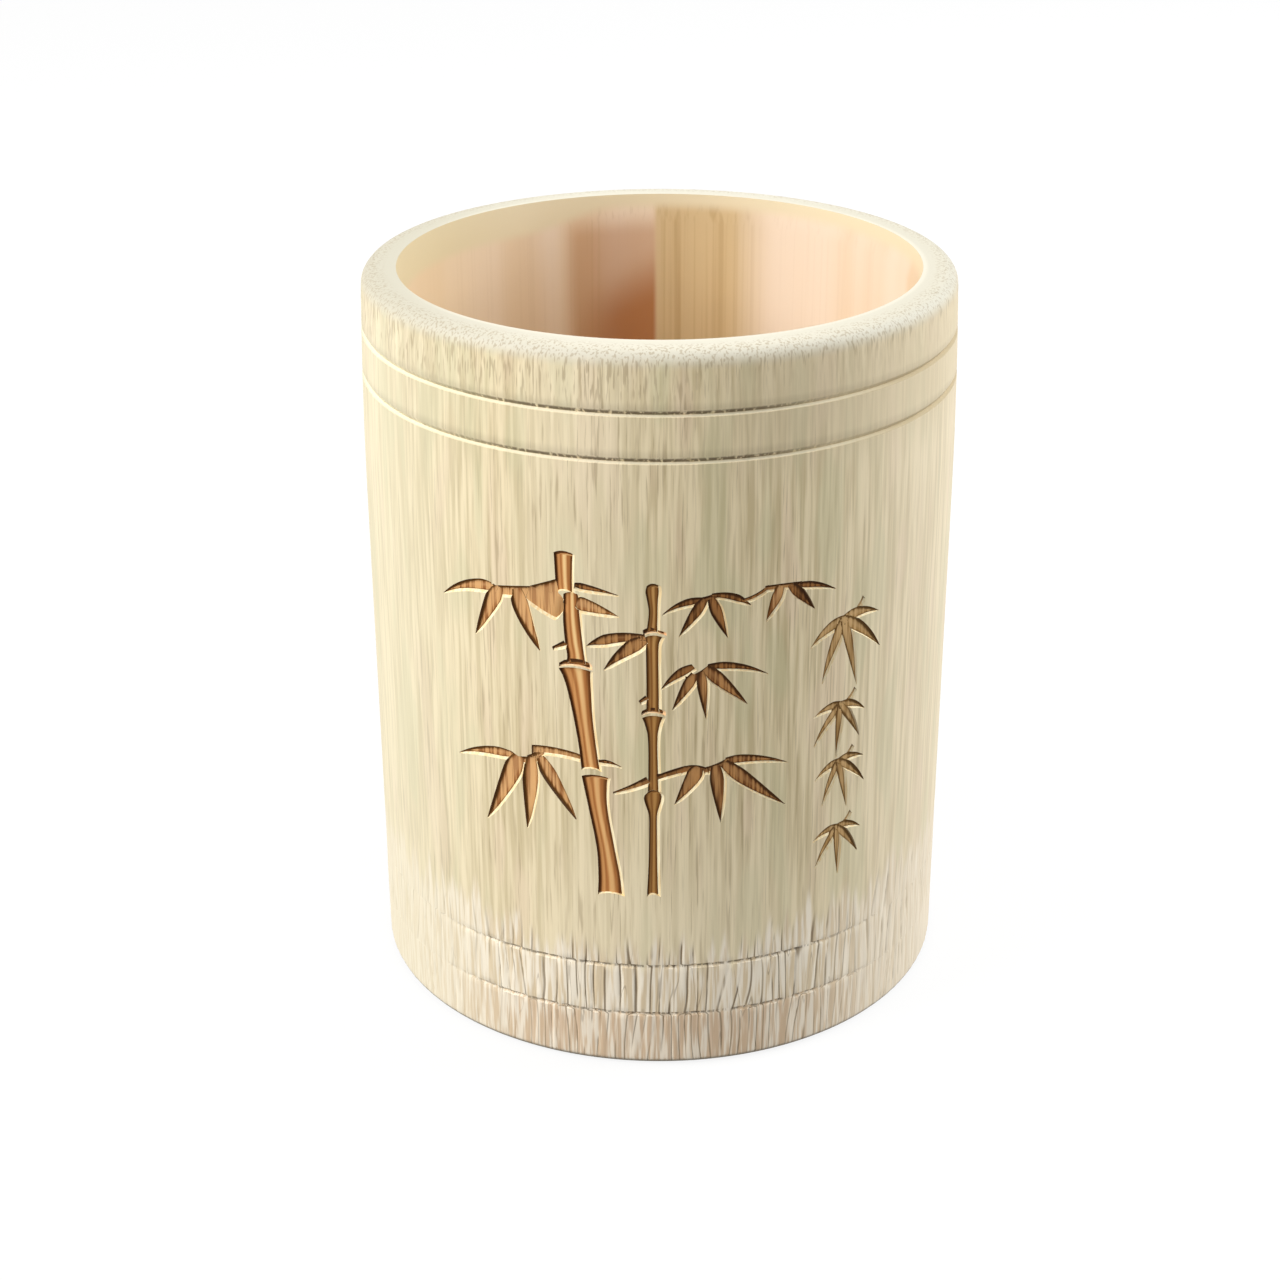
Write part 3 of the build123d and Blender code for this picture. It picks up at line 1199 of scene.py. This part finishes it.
# The glue keeps its solid
glueLook = {
    "clotScale": 0.8,
    "dark": shade(150, 104, 54),
    "light": shade(196, 150, 92),
    "roughness": 0.22,
    "clotRoughness": 0.25,
}


def curedGlue():
    look = glueLook
    f = Finish("curedGlue")
    clots = f.node("TexNoise", None, {"Vector": f.place, "Scale": look["clotScale"], "Detail": 2.0})
    f.join("Base Color", f.mix(clots, look["dark"], look["light"]))
    f.join("Roughness", look["roughness"] + clots * look["clotRoughness"])
    return f.material


glue = frame["nodes"]["glue_seam"]
glue.data.materials.clear()
glue.data.materials.append(curedGlue())
print("glue seam dressed")

# Stage: floor, light and camera
studio = {
    "floorRadius": 4.0,
    "floorSegments": 96,
    "floorTone": (0.1, 0.1, 0.1, 1),
    "floorGlow": 0.86,
    "skyAbove": 0.66,
    "skyBelow": 0.36,
    "skyEdge": 0.5,
    "boxSize": 0.5,
    "boxDistance": 0.8,
    "leftBox": (6.0, -72, 36, (1.0, 0.985, 0.96)),
    "rightBox": (5.5, 108, 30, (0.96, 0.985, 1.0)),
}


def paperFloor():
    f = Finish("paperFloor", Roughness=0.9, Base_Color=studio["floorTone"])
    f.shader.inputs["Emission Color"].default_value = (1, 1, 1, 1)
    f.shader.inputs["Emission Strength"].default_value = studio["floorGlow"]
    return f.material


def makeFloor():
    bm = bmesh.new()
    segments, radius = studio["floorSegments"], studio["floorRadius"]
    bmesh.ops.create_circle(bm, cap_ends=True, segments=segments, radius=radius)
    floor = makeObject("floor", bm, [paperFloor()])
    floor.visible_diffuse = False


def softBox(name, power, azimuth, elevation, tint):
    # azimuth 0 stands in front of the cup, and grows to the right
    light = bpy.data.lights.new(name, "AREA")
    light.energy = power
    light.size = studio["boxSize"]
    light.color = tint
    lamp = bpy.data.objects.new(name, light)
    sceneHome.objects.link(lamp)
    turn = math.radians(azimuth)
    rise = math.radians(elevation)
    aim = Vector((0, 0, 0.5 * cupHeight * mm))
    away = Vector((math.sin(turn) * math.cos(rise), -math.cos(turn) * math.cos(rise), math.sin(rise)))
    lamp.location = aim + away * studio["boxDistance"]
    lamp.rotation_euler = away.to_track_quat("Z", "Y").to_euler()


def makeSky():
    # brighter above than below
    world = bpy.data.worlds.new("studioSky")
    world.use_nodes = True
    tree = world.node_tree
    place = tree.nodes.new("ShaderNodeTexCoord")
    split = tree.nodes.new("ShaderNodeSeparateXYZ")
    fade = tree.nodes.new("ShaderNodeMapRange")
    fade.inputs["From Min"].default_value = -studio["skyEdge"]
    fade.inputs["From Max"].default_value = studio["skyEdge"]
    fade.inputs["To Min"].default_value = studio["skyBelow"]
    fade.inputs["To Max"].default_value = studio["skyAbove"]
    background = tree.nodes["Background"]
    background.inputs["Color"].default_value = (1, 1, 1, 1)
    tree.links.new(place.outputs["Generated"], split.inputs[0])
    tree.links.new(split.outputs["Z"], fade.inputs["Value"])
    tree.links.new(fade.outputs[0], background.inputs["Strength"])
    bpy.context.scene.world = world


makeFloor()
softBox("leftBox", *studio["leftBox"])
softBox("rightBox", *studio["rightBox"])
makeSky()
bpy.context.scene.view_settings.view_transform = "Standard"

# The camera that the photograph's rim, grooves and foot fit, in its 1280 pixel frame
view = {
    "back": 304.04,
    "height": 185.87,
    "pitch": 24.937,
    "focal": 2358.8,
    "axisPixel": 659.6,
    "frame": 1280,
    "sensor": 36.0,
}
lens = bpy.data.cameras.new("camera")
lens.sensor_width = view["sensor"]
lens.lens = view["focal"] * lens.sensor_width / view["frame"]
lens.shift_x = (view["frame"] / 2 - view["axisPixel"]) / view["frame"]
lens.clip_start = 0.01
camera = bpy.data.objects.new("camera", lens)
camera.location = (0, -view["back"] * mm, view["height"] * mm)
camera.rotation_euler = (math.radians(90 - view["pitch"]), 0, 0)
sceneHome.objects.link(camera)
bpy.context.scene.camera = camera
print("stage and camera ready")
